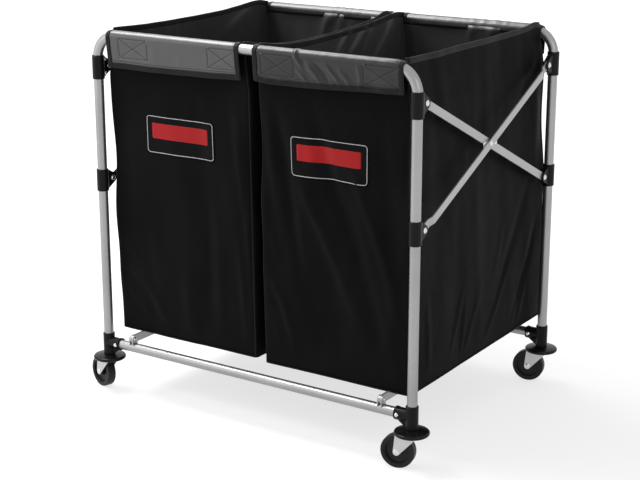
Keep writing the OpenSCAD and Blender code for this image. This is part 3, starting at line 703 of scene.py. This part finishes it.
def sideFold(side, panel, y, z):
    # The same for a side panel, by y, and for the rear panel, by x.
    waves = clothWaves(y, z, seedFor(side, panel), *bagCut["sideWaves"])
    return (foldHeight(y, z, bagFolds[f"{side}_{panel}"]) + waves) * floorHush(z) * bagCut["sideGain"]


def bagColumns():
    # Places round the bag: shares of its width and depth, the outward direction and the panel's number,
    # 0 front, 1 right, 2 rear and 3 left, with the quarter circle of a corner half a number later.
    width, depth, radius = (bagCut[name] for name in ("width", "depth", "cornerRadius"))
    arc = np.arange(1, bagCut["cornerSteps"]) / bagCut["cornerSteps"] * math.pi / 2
    edges = [((0, 0), (1, 0), (0, -1), width), ((1, 0), (1, 1), (1, 0), depth),
             ((1, 1), (0, 1), (0, 1), width), ((0, 1), (0, 0), (-1, 0), depth)]
    parts = []
    for number, (start, end, out, length) in enumerate(edges):
        count = int(round((length - 2 * radius) / bagCut["columnStep"]))
        t = np.arange(count + 1) / count
        places = [start[0] + t * (end[0] - start[0]), start[1] + t * (end[1] - start[1])]
        parts.append(np.stack(places + [np.full(len(t), value) for value in (*out, number)], 1))
        angle = -math.pi / 2 + number * math.pi / 2 + arc
        places = [np.full(len(arc), value) for value in end]
        parts.append(np.stack(places + [np.cos(angle), np.sin(angle), np.full(len(arc), number + 0.5)], 1))
    return np.concatenate(parts)


def heightAlong(places, line):
    # Straight runs between points in millimetres.
    return np.interp(places * 1000, *np.array(line, float).T) / 1000


def rimHeights(side, columns):
    # Side panels follow their sagging rims; front and rear panels end lower, under the hems.
    frontY, rearY = panelReach()
    y = frontY + columns[:, 1] * (rearY - frontY)
    right, left = (heightAlong(y, bagCut[side][name]) for name in ("rightRim", "leftRim"))
    height = np.where(columns[:, 0] > 0.5, right, left)
    across = (columns[:, 4] == 0) | (columns[:, 4] == 2)
    edge = np.minimum(columns[:, 0], 1 - columns[:, 0]) * bagCut["width"]
    lift = np.clip(1 - edge / bagCut["earWidth"], 0, 1)
    height = np.where(across, bagCut["frontTop"] + lift * (height - bagCut["frontTop"]), height)
    for _ in range(bagCut["rimSmoothing"]):
        height = (np.roll(height, 1) + 2 * height + np.roll(height, -1)) / 4
    return height


def floorGrid(side, columns, seam):
    # The walls' outline drawn inward in steps.
    tx, ty, nx, ny, _ = columns.T
    rows = []
    for inset, rise in bagCut["floorRows"]:
        x0, x1, y0, y1 = wallBounds(side, bagCut[side]["seam"][0], 0)
        x, y = outline((x0 + inset, x1 - inset, y0 + inset, y1 - inset), tx, ty, nx, ny)
        rows.append(np.stack([x, y, seam - bagCut["floorDrop"] + rise], 1))
    return np.array(rows)


def proudOf(side, columns, x, y, z, up):
    # How far the walls stand out. Folds run out at the corner seams, which are drawn in a little.
    tx, ty, _, _, kind = columns.T
    fields = [frontFold(side, x, z), sideFold(side, "rightSide", y, z),
              sideFold(side, "rear", x, z), sideFold(side, "leftSide", y, z)]
    out = np.zeros_like(x)
    for number, field in enumerate(fields):
        out = np.where(kind == number, field, out)
        out = np.where(kind == number + 0.5, (field + fields[(number + 1) % 4]) / 2, out)
    reach = np.where(kind % 2 == 0, np.minimum(tx, 1 - tx) * bagCut["width"],
                     np.minimum(ty, 1 - ty) * bagCut["depth"])
    reach = np.where(kind % 1 == 0, reach, 0)
    atSeam = bagCut["seamShare"]
    out = out * (atSeam + (1 - atSeam) * np.clip(reach / bagCut["foldReach"], 0, 1))
    pinch = bagCut["cornerPinch"] + clothWaves(0 * z, z, seedFor(side, "pucker"), *bagCut["puckerWaves"])
    return out - np.exp(-(reach / bagCut["pinchReach"]) ** 2) * np.sin(math.pi * up) * pinch


def bagSurface(side):
    # The floor, and the walls drawn up from its seam to the rim, each panel moved along its way out.
    columns = bagColumns()
    tx, ty, nx, ny, _ = columns.T
    front, rear = bagCut[side]["seam"]
    seam = front + ty * (rear - front)
    up = np.linspace(0, 1, bagCut["wallRows"])[:, None]
    z = seam + up * (rimHeights(side, columns) - seam)
    x, y = outline(wallBounds(side, z, up), tx, ty, nx, ny)
    out = proudOf(side, columns, x, y, z, up)
    walls = np.stack([x + out * nx, y + out * ny, z], -1)
    return np.concatenate([floorGrid(side, columns, seam), walls]), columns


def ridesAndFolds(piece):
    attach(piece, "front_frame")
    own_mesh(piece)


trimCut = {
    "pipingRadii": (0.0013, 0.0013),
    "pipingSides": 8,
    "floorPipingLift": 0.0004,
    "cornerPipingLift": 0.0003,
    "rimBand": (0.0064, 0.0019),  # half height and half thickness of the folded binding
    "rimProud": 0.0012,  # how far it stands above the panel's edge
    "rimSquareness": 0.5,
    "rimSides": 14,
    "corners": ("front_right", "rear_right", "rear_left", "front_left"),
}


def makePiping(name, line, across, closed=False):
    return sweptPiece(name, line, across, trimCut["pipingRadii"], paints["bindingTape"],
                      trimCut["pipingSides"], closed)


def makeBag(side):
    points, columns = bagSurface(side)
    # the back of the bag's cloth takes the lining paint, whose lighter colour is partly painted light
    bag = clothPiece(f"bag_{side}_cloth", points, bagCut["thickness"], paints["bagNylon"],
                     closed=True, capped=True, uvSize=bagCut["uvSize"], lining=paints["bagLiningGlossAndPaintedLight"])
    normal = surfaceNormals(points, True)
    seamRow = len(bagCut["floorRows"])
    ring = points[seamRow] + normal[seamRow] * trimCut["floorPipingLift"]
    upward = np.repeat([[0, 0, 1.0]], len(ring), 0)
    extras = [makePiping(f"bag_{side}_floor_piping", ring, upward, closed=True)]
    diagonal = np.abs(columns[:, 2] * columns[:, 3])
    for number, corner in enumerate(trimCut["corners"]):
        # the column in the middle of the corner's quarter circle
        column = int(np.argmax(np.where(columns[:, 4] == number + 0.5, diagonal, -1)))
        line = points[seamRow:, column] + normal[seamRow:, column] * trimCut["cornerPipingLift"]
        across = np.repeat([[columns[column, 2], columns[column, 3], 0]], len(line), 0)
        extras.append(makePiping(f"bag_{side}_{corner}_piping", line, across))
    for number, name in ((1, "right"), (3, "left")):
        picked = np.where(np.abs(columns[:, 4] - number) <= 0.5)[0]
        down = unit(points[-2, picked] - points[-1, picked])
        line = (points[-1, picked] + down * (trimCut["rimBand"][0] - trimCut["rimProud"])
                - normal[-1, picked] * bagCut["thickness"] / 2)
        extras.append(sweptPiece(f"bag_{side}_{name}_rim_binding", line, down, trimCut["rimBand"],
                                 paints["bindingTape"], trimCut["rimSides"],
                                 squareness=trimCut["rimSquareness"]))
    for piece in [bag] + extras:
        ridesAndFolds(piece)
    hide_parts(f"bag_{side}")
    return bag, extras


hemCut = {
    "tubeRadius": 0.011,
    "bendRadius": 0.054,
    "radius": 0.0119,  # of the cloth round the tube
    "lean": 6.5,  # degrees that the flap leans in toward the bag
    "innerDrop": 0.012,
    "innerGrow": 0.0026,  # more radius where the cloth comes down over the bag's panel
    "thickness": 0.0009,
    "lift": 0.0003,
    "columns": 231,
    "flapRows": 46,
    "arcRows": 32,
    "dropRows": (2.5, 3),
    "uvHeight": 0.13,
    "tapeWidth": 0.0115,
    "tapeThickness": 0.0026,
    "tapeOver": (0.0012, 0.0014),  # how far a tape stands past the lower and the side edges
    "tapeRows": (9, 8),
    "sideTape": 0.8,  # a side tape's width as a share of the lower one's
    "sideTapeLift": 0.0003,
    "waves": (0.00035, 0.12, 0.03),
    "waveSeed": 20,
    "grip": (0.82, 0.18),  # share of the flap at which the cloth meets the tube, and the run
    "dropHush": 3,
    "stitchPull": (0.0007, 0.0016),  # how deep and how wide a stitched line draws the cloth in
    "pullEnd": 1.1,
    "ripple": (0.0012, 38, 1.3, 0.75),  # height, turns, step of phase and reach up the flap
    "ends": {"left": (-0.378, -0.016), "right": (0.024, 0.386)},
    # lower edge of each flap: x and height in millimetres
    "lowerEdge": {"left": [(-378, 777), (-200, 777), (-16, 782)],
                  "right": [(24, 786), (60, 782), (130, 782), (386, 792)]},
    "boxes": {"left": ((-345, -264), (-97, -20)), "right": ((43, 125), (295, 378))},
    "boxHeights": (801, 844),
}

# folds of the hems, written as those of the bags
hemFolds = {
    "left_front": [
        ([(-250, 800), (-245, 830)], 10, 0.5),
        ([(-180, 786), (-170, 815)], 9, 0.5),
        ([(-30, 862), (-16, 848)], 5, 0.9),
    ],
    "right_front": [
        ([(126, 862), (132, 845), (150, 815)], 5, 2.8),
        ([(150, 862), (144, 846), (160, 826)], 4, -2.0),
        ([(150, 836), (178, 812), (196, 790)], 6, 3.2),
        ([(168, 846), (200, 815), (214, 792)], 5, -2.6),
        ([(128, 822), (150, 802), (160, 790)], 5, 2.4),
        ([(200, 838), (226, 812), (240, 792)], 5, 2.4),
        ([(232, 832), (256, 806), (262, 792)], 6, 2.2),
        ([(60, 798), (90, 792), (112, 786)], 4, 1.6),
        ([(280, 846), (286, 815), (282, 790)], 5, 1.8),
        ([(320, 800), (340, 794), (360, 790)], 5, 1.6),
        ([(24, 806), (48, 797), (70, 788)], 4, 1.8),
        ([(62, 836), (96, 822), (120, 806)], 7, 1.2),
        ([(300, 836), (330, 826), (372, 812)], 8, 1.4),
    ],
    "left_rear": [
        ([(-184, 864), (-172, 850), (-196, 832)], 7, 1.3),
        ([(-158, 864), (-152, 849), (-170, 830)], 6, 1.2),
        ([(-136, 864), (-130, 849), (-142, 833)], 7, 1.0),
        ([(-112, 864), (-106, 850), (-122, 834)], 6, 0.8),
    ],
    "right_rear": [
        ([(204, 864), (214, 849), (204, 832)], 7, 1.0),
        ([(232, 864), (242, 849), (230, 830)], 6, 1.3),
        ([(262, 864), (274, 849), (258, 830)], 7, 1.3),
        ([(294, 864), (300, 849), (284, 832)], 6, 1.0),
    ],
}


def tubeCentre(end):
    # y and z of the top rail's middle line, and the x where its bend begins
    low, high = boxOf(f"{end}_frame_tube")
    return ((low[1] + high[1]) / 2, high[2] - hemCut["tubeRadius"],
            high[0] - hemCut["tubeRadius"] - hemCut["bendRadius"])


def flapReach(side, end, x):
    # Heights of a flap's lower edge and of the line where it leaves the tube, and the sine of the tube's
    # slope: past the start of the bend the tube drops by R - sqrt(R^2 - d^2)
    _, tubeZ, bendStart = tubeCentre(end)
    past = np.clip(np.abs(x) - bendStart, 0, None)
    drop = hemCut["bendRadius"] - np.sqrt(hemCut["bendRadius"] ** 2 - past ** 2)
    leave = tubeZ - drop - hemCut["radius"] * math.sin(math.radians(hemCut["lean"]))
    edge = heightAlong(x, hemCut["lowerEdge"][side])
    return edge, leave, past / hemCut["bendRadius"]


def stitchLines(side, end):
    # The outline and the diagonals of each stitched box on a front flap, in metres.
    low, high = (h / 1000 for h in hemCut["boxHeights"])
    lines = []
    for left, right in hemCut["boxes"][side] if end == "front" else []:
        a, b = left / 1000, right / 1000
        box = [(a, low), (b, low), (b, high), (a, high)]
        lines += list(zip(box, box[1:] + box[:1])) + [(box[0], box[2]), (box[3], box[1])]
    return [(np.array(start), np.array(stop)) for start, stop in lines]


def hemProud(side, end, x, height, s):
    # How far the cloth stands off its smooth form: creases, waves, stitched lines and a rippled edge.
    out = foldHeight(x, height, hemFolds[f"{side}_{end}"])
    out = out + clothWaves(x, height, hemCut["waveSeed"] + len(side) + len(end), *hemCut["waves"])
    onTube = np.clip((s - hemCut["grip"][0]) / hemCut["grip"][1], 0, 1)
    out = np.where(out < 0, out * (1 - onTube), out)  # cloth can't sink into the tube
    out = out * np.clip((2 - s) * hemCut["dropHush"], 0, 1)
    depth, width = hemCut["stitchPull"]
    for start, stop in stitchLines(side, end):
        _, dx, dz, _ = stepsFrom(x, height, start, stop)
        out = out - depth * np.exp(-(np.hypot(dx, dz) / width) ** 2) * (s < hemCut["pullEnd"])
    depth, turns, phase, reach = hemCut["ripple"]
    return out + depth * np.sin(x * turns + phase * len(side)) * np.clip(1 - s / reach, 0, 1)


def hemPoints(side, end, x, s, lift):
    # Places on a hem for matching arrays of x and s. s runs 0 to 1 up the straight flap, 1 to 2 in an arc
    # over the tube, and 2 to 3 a little way down to the bag's panel.
    tubeY = tubeCentre(end)[0]
    way = 1 if end == "front" else -1
    lean = math.radians(hemCut["lean"])
    edge, leave, slope = flapReach(side, end, x)
    turn = (math.pi + lean) * (1 - np.clip(s - 1, 0, 1))
    half = np.clip(1 - turn / (math.pi / 2), 0, 1)
    radius = hemCut["radius"] + hemCut["innerGrow"] * half ** 2 * (3 - 2 * half)
    below = (1 - s) * (s < 1) * (leave - edge)
    beyond = np.clip(s - 2, 0, 1) * hemCut["innerDrop"]
    y = radius * np.cos(turn) + below * math.tan(lean)
    rise = radius * np.sin(turn) + hemCut["radius"] * math.sin(lean)
    height = leave + np.where(turn < math.pi, rise / np.sqrt(1 - slope ** 2), rise) - below - beyond
    out = hemProud(side, end, x, height, s) + lift
    return np.stack([x, tubeY + way * (y + out * np.cos(turn)), height + out * np.sin(turn)], -1)


def hemPatch(name, side, end, xs, ss, raised, thickness, paint):
    # Part of a hem, or a tape on it. ss is shares, or metres above the lower edge for the lower tape.
    across, up = np.meshgrid(xs, ss)
    if ss[-1] <= hemCut["tapeWidth"]:
        edge, leave, _ = flapReach(side, end, across)
        up = up / (leave - edge)
    grid = hemPoints(side, end, across, up, raised)
    if end == "rear":
        grid = grid[:, ::-1]
    return clothPiece(name, grid, thickness, paint, uvSize=(xs[-1] - xs[0], hemCut["uvHeight"]))


def makeHem(side, end):
    name = f"hem_{side}_{end}"
    x0, x1 = hemCut["ends"][side]
    x = np.linspace(x0, x1, hemCut["columns"])
    onTube = np.linspace(1, 2, hemCut["arcRows"])[1:]
    upTo = np.concatenate([np.linspace(0, 1, hemCut["flapRows"]), onTube])
    around = np.concatenate([upTo, hemCut["dropRows"]])
    # each flap takes its own lit or shaded copy of the flap cloth, whose colour is painted light and shade
    nylon = paints["rearFlapNylon" if end == "rear" else f"{side}FlapNylon"]
    hem = hemPatch(name, side, end, x, around, hemCut["lift"], hemCut["thickness"], nylon)

    thick, width = hemCut["tapeThickness"], hemCut["tapeWidth"]
    under, past = hemCut["tapeOver"]
    rows, columns = hemCut["tapeRows"]
    low = hemCut["lift"] + (thick - hemCut["thickness"]) / 2
    high = low + hemCut["sideTapeLift"]
    sideWidth = width * hemCut["sideTape"]
    tapes = [("lower", x, np.linspace(-under, width, rows), low),
             ("left", np.linspace(x0 - past, x0 + sideWidth, columns), upTo, high),
             ("right", np.linspace(x1 - sideWidth, x1 + past, columns), upTo, high)]
    extras = [hemPatch(f"{name}_{place}_tape", side, end, xs, ss, raised, thick, paints["bindingTape"])
              for place, xs, ss, raised in tapes]
    extras.append(makeStitches(side, end, x0, x1))
    for piece in [hem] + extras:
        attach(piece, f"{end}_frame")
    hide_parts(f"bag_{side}_{end}_hem")
    return [hem] + extras


stitchCut = {
    "pitch": 0.0036,
    "size": (0.0026, 0.0007),  # length and width of one stitch
    "high": 0.0004,
    "inset": 0.004,  # from the hem's ends
    "boxLift": 0.0003,
    "rows": ((-0.0015, 0.0012), (0.004, 0.0003)),  # place from the lower tape's upper edge, and lift
}


def stitchPlaces(side, end, x0, x1):
    # Place, direction and lift of every stitch, x and height in the plane of the flap
    pitch = stitchCut["pitch"]
    runs = []
    for start, stop in stitchLines(side, end):
        length = np.linalg.norm(stop - start)
        t = (np.arange(int(length / pitch)) + 0.5) * pitch / length
        runs.append((start + t[:, None] * (stop - start), (stop - start) / length, stitchCut["boxLift"]))
    xs = np.arange(x0 + stitchCut["inset"], x1 - stitchCut["inset"], pitch)
    for above, lift in stitchCut["rows"]:
        level = hemCut["tapeWidth"] + above
        runs.append((np.stack([xs, flapReach(side, end, xs)[0] + level], 1), (1.0, 0.0), lift))
    places, ways, lifts = zip(*runs)
    counts = [len(place) for place in places]
    return np.concatenate(places), np.repeat(ways, counts, 0), np.repeat(lifts, counts)[:, None]


def makeStitches(side, end, x0, x1):
    # Short raised dashes along each sewn line: small boxes turned along it and set on the cloth
    places, ways, lifts = stitchPlaces(side, end, x0, x1)
    half = np.array(stitchCut["size"]) / 2
    corners = np.array([(i, j) for j in (-1, 1) for i in (-1, 1)], float) * half
    x = places[:, 0, None] + corners[:, 0] * ways[:, 0, None] - corners[:, 1] * ways[:, 1, None]
    z = places[:, 1, None] + corners[:, 0] * ways[:, 1, None] + corners[:, 1] * ways[:, 0, None]
    edge, leave, _ = flapReach(side, end, x)
    s = (z - edge) / (leave - edge)
    layers = [hemPoints(side, end, x, s, hemCut["lift"] + lifts + rise)
              for rise in (-stitchCut["high"], stitchCut["high"])]
    base = np.arange(len(places))[:, None, None] * 8
    box = np.array([(0, 2, 3, 1), (4, 5, 7, 6), (0, 1, 5, 4), (2, 6, 7, 3), (0, 4, 6, 2), (1, 3, 7, 5)])
    if end == "rear":
        box = box[:, ::-1]
    return newPiece(f"hem_{side}_{end}_stitches", np.concatenate(layers, 1),
                    (base + box[None]).reshape(-1, 4).tolist(), paints["seamThread"], smooth=False)


labelCut = {
    "places": {"left": (-0.1985, 0.632), "right": (0.1965, 0.631)},
    "size": (0.190, 0.088),
    "corner": 0.009,
    "cornerSteps": 10,
    "edgeSteps": 14,
    "rings": (0.06, 1, 18),  # shares of the outline at which a filled patch has its rings
    "plateHeights": (0.0016, 0.0012),  # lift above the cloth, and thickness
    "borderHeights": (0.00195, 0.0006),
    "bandHeights": (0.00195, 0.0006),
    "border": ((0.0068, 0.0062), (0.004, 0.0075)),  # size less than the plate's, and corner
    "band": (0.034, 0.40, 0.003),  # width less than the plate's, share of its height, and corner
    "bandRise": 0.10,
}

labelFinishes = {
    "labelPlate": dict(colour=(0.005, 0.005, 0.006), roughness=0.4, ior=1.12),
    "labelBorder": dict(colour=(0.62, 0.62, 0.62), roughness=0.5),
    "labelBand": dict(colour=(0.46, 0.016, 0.018), roughness=0.42, ior=1.25),
}

paints.update({name: hardFinish(name, **facts) for name, facts in labelFinishes.items()})


def roundedOutline(width, height, radius):
    # Corner arcs joined by straight runs, as one loop of points round the middle.
    steps = labelCut["cornerSteps"]
    turn = np.arange(steps + 1) / steps * math.pi / 2
    t = np.linspace(0, 1, labelCut["edgeSteps"])[1:-1, None]
    reach = np.array([width / 2 - radius, height / 2 - radius])
    corners = ((1, 1), (-1, 1), (-1, -1), (1, -1))
    loops = []
    for number, corner in enumerate(corners):
        angle = turn + number * math.pi / 2
        arc = np.array(corner) * reach + radius * np.stack([np.cos(angle), np.sin(angle)], 1)
        last = (number + 1) * math.pi / 2
        after = (np.array(corners[(number + 1) % 4]) * reach
                 + radius * np.array([math.cos(last), math.sin(last)]))
        loops += [arc, arc[-1] + t * (after - arc[-1])]
    return np.concatenate(loops)


def labelPatch(name, side, middle, outlines, heights, paint, capped):
    # Rings between outlines, laid on the front panel.
    lift, thickness = heights
    rings = np.array(outlines)
    x, z = middle[0] + rings[..., 0], middle[1] + rings[..., 1]
    y = wallBounds(side, z, 0)[2] - frontFold(side, x, z) - lift
    grid = np.stack([x, y, z], -1)
    return clothPiece(name, grid[:, ::-1], thickness, paint, closed=True, capped=capped)


def makeLabel(side):
    # A dark plate, a pale border line a little inside its edge, and one plain band
    width, height = labelCut["size"]
    middle = labelCut["places"][side]
    shares = np.linspace(*labelCut["rings"])
    outer = roundedOutline(width, height, labelCut["corner"])
    edges = [roundedOutline(width - less, height - less, corner) for less, corner in labelCut["border"]]
    less, share, corner = labelCut["band"]
    band = roundedOutline(width - less, height * share, corner)
    above = (middle[0], middle[1] + height * labelCut["bandRise"])
    parts = (("plate", middle, [outer * k for k in shares]), ("border", middle, edges),
             ("band", above, [band * k for k in shares]))
    pieces = [labelPatch(f"label_{side}_{name}", side, place, outlines, labelCut[name + "Heights"],
                         paints["label" + name.title()], name != "border") for name, place, outlines in parts]
    for piece in pieces:
        ridesAndFolds(piece)
    return pieces


for side in ("left", "right"):
    bag, trims = makeBag(side)
    print("bag", side, "sewn")
    hems = makeHem(side, "front") + makeHem(side, "rear")
    labels = makeLabel(side)
    print("hems and label", side, "done")
